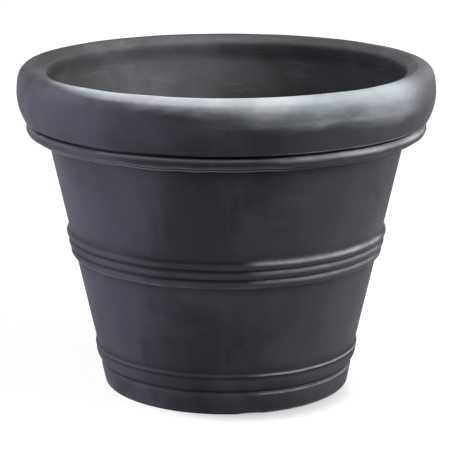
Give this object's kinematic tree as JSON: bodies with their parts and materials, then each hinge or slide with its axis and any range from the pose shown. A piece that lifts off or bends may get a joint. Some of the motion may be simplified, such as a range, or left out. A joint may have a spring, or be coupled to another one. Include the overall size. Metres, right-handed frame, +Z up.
{
  "type": "garden planter",
  "caption": "Round tapered floor planter with a hollow rolled rim, a rounded collar, beaded belts and pull-out drain plugs in its floor.",
  "frame": {"origin": "on the ground, at the middle of the foot", "axes": "+Z up along the pot's axis, -Y towards the side shown in the picture"},
  "size_m": [0.508, 0.508, 0.3975],
  "materials": {
    "pot": "charcoal, wiped and slightly patchy satin",
    "vent_plug": "plain moulded",
    "plug": "plain moulded",
    "seal": "matte"
  },
  "bodies": {
    "pot": {"planter_shell": "pot", "rim_vent_plug": "vent_plug"},
    "plug_1": {"drain_plug_1": "plug", "drain_seal_1": "seal"},
    "plug_2": {"drain_plug_2": "plug", "drain_seal_2": "seal"},
    "plug_3": {"drain_plug_3": "plug", "drain_seal_3": "seal"},
    "plug_4": {"drain_plug_4": "plug", "drain_seal_4": "seal"}
  },
  "joints": [
    {"name": "plug_1_lift", "type": "slide", "parent": "pot", "child": "plug_1", "axis": [0, 0, 1], "range_m": [0, 0.4]},
    {"name": "plug_2_lift", "type": "slide", "parent": "pot", "child": "plug_2", "axis": [0, 0, 1], "range_m": [0, 0.4]},
    {"name": "plug_3_lift", "type": "slide", "parent": "pot", "child": "plug_3", "axis": [0, 0, 1], "range_m": [0, 0.4]},
    {"name": "plug_4_lift", "type": "slide", "parent": "pot", "child": "plug_4", "axis": [0, 0, 1], "range_m": [0, 0.4]}
  ]
}
